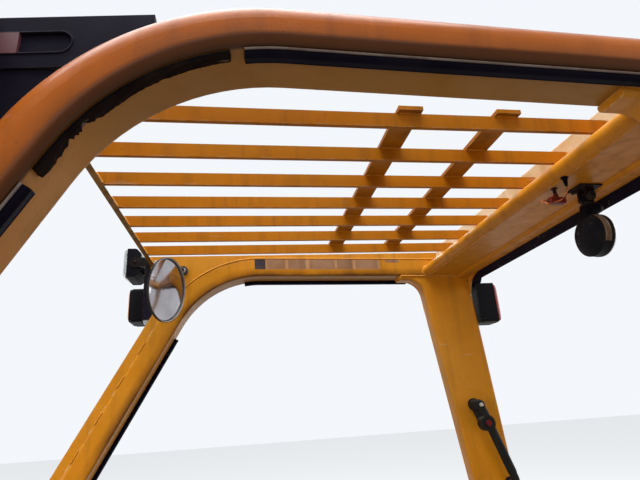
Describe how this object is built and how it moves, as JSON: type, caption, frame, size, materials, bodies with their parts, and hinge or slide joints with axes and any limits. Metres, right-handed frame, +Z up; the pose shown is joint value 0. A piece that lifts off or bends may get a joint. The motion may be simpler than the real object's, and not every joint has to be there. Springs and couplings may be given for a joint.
{
  "type": "forklift overhead guard",
  "caption": "Overhead guard of a lift truck: bent side hoops, raked front pillars, slatted roof, tilting lamps, a swivelling mirror, grab handle and bolted feet.",
  "frame": {"origin": "middle of the guard's bounding box at the underside of the feet", "axes": "+X towards the front of the truck, +Y to the operator's left, +Z up"},
  "size_m": [1.6074, 1.304, 1.536],
  "materials": {
    "guard_paint": "satin yellow-orange paint, worn at the edges",
    "slat_paint": "satin yellow-orange paint, dusty",
    "black_plastic": "moulded black plastic, dusty",
    "cover_plastic": "moulded black plastic",
    "seal_rubber": "ribbed black rubber",
    "seal_foam": "soft black foam, torn at the edge",
    "clear_lens": "clear moulded lens",
    "amber_lens": "amber moulded lens",
    "red_lens": "red moulded lens",
    "bracket_paint": "black painted steel",
    "arm_steel": "black painted steel rod",
    "ball_steel": "bare steel ball",
    "mirror_shell": "black moulded shell with a bright rim",
    "mirror_face": "convex mirror",
    "horn_red": "dark red button",
    "plug_red": "dark red plug",
    "wire_skin": "orange and brown insulation"
  },
  "bodies": {
    "guard": {"front_cross_bar": "slat_paint", "front_plate": "guard_paint", "grab_handle": "black_plastic", "horn_button": "horn_red", "lamp_lead": "wire_skin", "lead_grommet": "seal_rubber", "lead_plug": "plug_red", "left_corner_cover": "cover_plastic", "left_corner_foam": "seal_foam", "left_front_foot": "guard_paint", "left_headlamp_bracket": "bracket_paint", "left_hoop": "guard_paint", "left_marker_lens": "red_lens", "left_pillar_seal": "seal_rubber", "left_rail_seal": "seal_rubber", "left_rear_foot": "guard_paint", "left_rear_pillar": "guard_paint", "left_roof_web": "guard_paint", "left_screen_flange": "guard_paint", "left_tail_lamp_body": "black_plastic", "left_tail_lamp_lens": "red_lens", "left_turn_lamp_body": "black_plastic", "left_turn_lamp_lens": "amber_lens", "mirror_arm": "arm_steel", "rear_cover": "cover_plastic", "rear_cross_bar": "slat_paint", "rear_member": "guard_paint", "right_corner_cover": "cover_plastic", "right_front_foot": "guard_paint", "right_headlamp_bracket": "bracket_paint", "right_hoop": "guard_paint", "right_marker_lens": "red_lens", "right_pillar_seal": "seal_rubber", "right_rail_seal": "seal_rubber", "right_rear_foot": "guard_paint", "right_rear_pillar": "guard_paint", "right_roof_web": "guard_paint", "right_screen_flange": "guard_paint", "right_tail_lamp_body": "black_plastic", "right_tail_lamp_lens": "red_lens", "right_turn_lamp_body": "black_plastic", "right_turn_lamp_lens": "amber_lens", "roof_slat_1": "slat_paint", "roof_slat_2": "slat_paint", "roof_slat_3": "slat_paint", "roof_slat_4": "slat_paint", "roof_slat_5": "slat_paint", "roof_slat_6": "slat_paint", "roof_slat_7": "slat_paint", "work_lamp_bracket": "bracket_paint"},
    "left_headlamp": {"left_headlamp_body": "black_plastic", "left_headlamp_lens": "clear_lens"},
    "right_headlamp": {"right_headlamp_body": "black_plastic", "right_headlamp_lens": "clear_lens"},
    "work_lamp": {"work_lamp_body": "black_plastic", "work_lamp_lens": "clear_lens"},
    "mirror_ball": {"mirror_ball": "ball_steel"},
    "mirror_head": {"mirror_head": "mirror_shell", "mirror_glass": "mirror_face"}
  },
  "joints": [
    {"name": "left_headlamp_tilt", "type": "hinge", "parent": "guard", "child": "left_headlamp", "pos_m": [0.51425, 0.586, 1.486], "axis": [0, 1, 0], "range_deg": [-20, 20]},
    {"name": "right_headlamp_tilt", "type": "hinge", "parent": "guard", "child": "right_headlamp", "pos_m": [0.51425, -0.586, 1.486], "axis": [0, 1, 0], "range_deg": [-20, 20]},
    {"name": "work_lamp_tilt", "type": "hinge", "parent": "guard", "child": "work_lamp", "pos_m": [-0.58775, 0.2285, 1.388], "axis": [0, 1, 0], "range_deg": [-30, 15]},
    {"name": "mirror_swivel", "type": "hinge", "parent": "guard", "child": "mirror_ball", "pos_m": [0.42024, -0.39952, 1.3585], "axis": [0, 0, 1], "range_deg": [-15, 15]},
    {"name": "mirror_tilt", "type": "hinge", "parent": "mirror_ball", "child": "mirror_head", "pos_m": [0.42024, -0.39952, 1.3585], "axis": [0.4024, 0.9155, 0], "range_deg": [-20, 3]}
  ]
}
